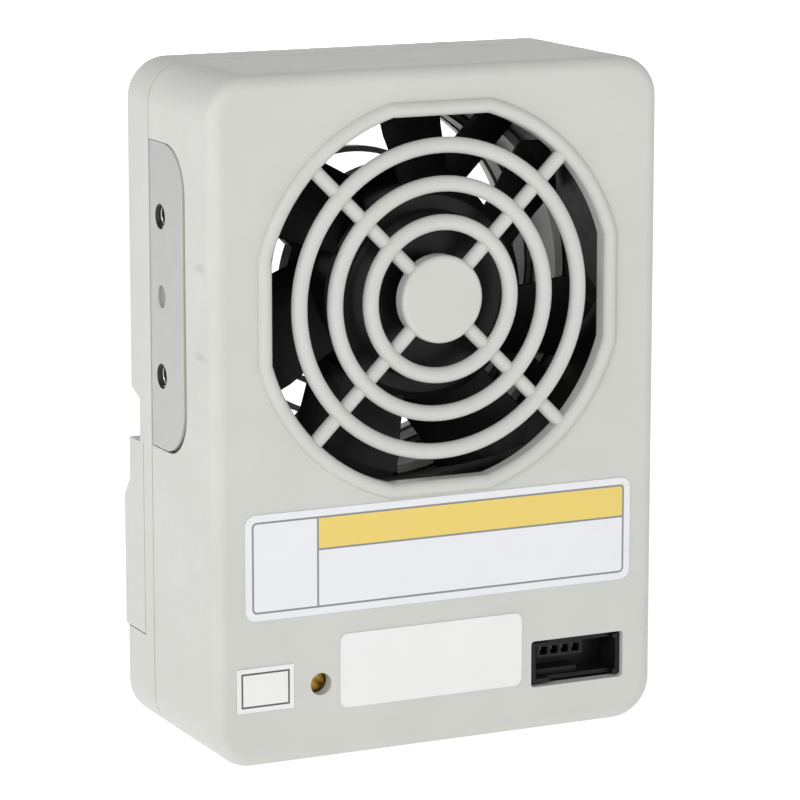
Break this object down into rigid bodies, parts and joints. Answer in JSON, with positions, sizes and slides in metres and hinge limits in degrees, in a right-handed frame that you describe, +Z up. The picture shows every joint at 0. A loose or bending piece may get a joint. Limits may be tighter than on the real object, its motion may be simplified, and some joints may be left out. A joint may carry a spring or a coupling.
{
  "type": "ionizing blower",
  "caption": "Small box-shaped ionizing blower: axial fan behind a round ring guard, pull-out electrode cartridge at the outlet, threaded steel side plates.",
  "frame": {"origin": "middle of the underside, centred on the overall width and depth", "axes": "+X to the right seen from the intake face, +Y along the air flow from intake to outlet, +Z up"},
  "size_m": [0.08, 0.0398, 0.112],
  "materials": {
    "case_plastic": "fine matte moulded ABS",
    "plate_steel": "satin stainless sheet",
    "screw_steel": "zinc plated",
    "ground_steel": "ground bearing steel",
    "lamination_steel": "drawn and stamped electrical steel",
    "fan_plastic": "black glass-filled polyester",
    "insulator_light": "light insulating polymer",
    "magnet": "bonded ferrite",
    "copper_wire": "enamelled copper",
    "circuit_board": "green solder resist",
    "component_black": "black epoxy and sleeves",
    "lead_insulation": "red PVC insulation",
    "brass": "bright brass strip",
    "connector_black": "black moulded socket",
    "trimmer_blue": "blue moulded trimmer",
    "lens": "clear light pipe",
    "tungsten": "ground tungsten",
    "label_film": "white polyester film, semi-gloss"
  },
  "bodies": {
    "case": {"intake_housing": "case_plastic", "outlet_cover": "case_plastic", "side_plate_left": "plate_steel", "side_plate_right": "plate_steel", "case_screws": "screw_steel", "fan_frame": "fan_plastic", "fan_screws": "screw_steel", "fan_bearings": "ground_steel", "stator_core": "lamination_steel", "stator_coils": "copper_wire", "fan_board": "circuit_board", "fan_leads": "lead_insulation", "control_board": "circuit_board", "board_screws": "screw_steel", "board_components": "component_black", "high_voltage_module": "component_black", "contact_spring": "brass", "power_connector": "connector_black", "connector_contacts": "brass", "trimmer_body": "trimmer_blue", "indicator_lamps": "lens", "light_pipes": "lens", "wide_label": "label_film", "rating_label": "label_film", "small_label": "label_film"},
    "rotor": {"impeller": "fan_plastic", "rotor_yoke": "lamination_steel", "rotor_magnet": "magnet", "fan_shaft": "ground_steel", "shaft_clip": "screw_steel"},
    "cartridge": {"cartridge_cover": "case_plastic", "electrode_ring": "insulator_light", "emitter_sockets": "brass", "emitter_needles": "tungsten", "bus_strip": "brass"},
    "trimmer": {"trimmer_rotor": "brass"}
  },
  "joints": [
    {"name": "fan_spin", "type": "hinge", "parent": "case", "child": "rotor", "pos_m": [0, -0.0065, 0.0744], "axis": [0, 1, 0], "continuous": true},
    {"name": "cartridge_pull", "type": "slide", "parent": "case", "child": "cartridge", "axis": [0, 1, 0], "range_m": [0, 0.0095]},
    {"name": "trimmer_turn", "type": "hinge", "parent": "case", "child": "trimmer", "pos_m": [-0.02145, -0.015, 0.0127], "axis": [0, 1, 0], "range_deg": [-130, 130]}
  ]
}
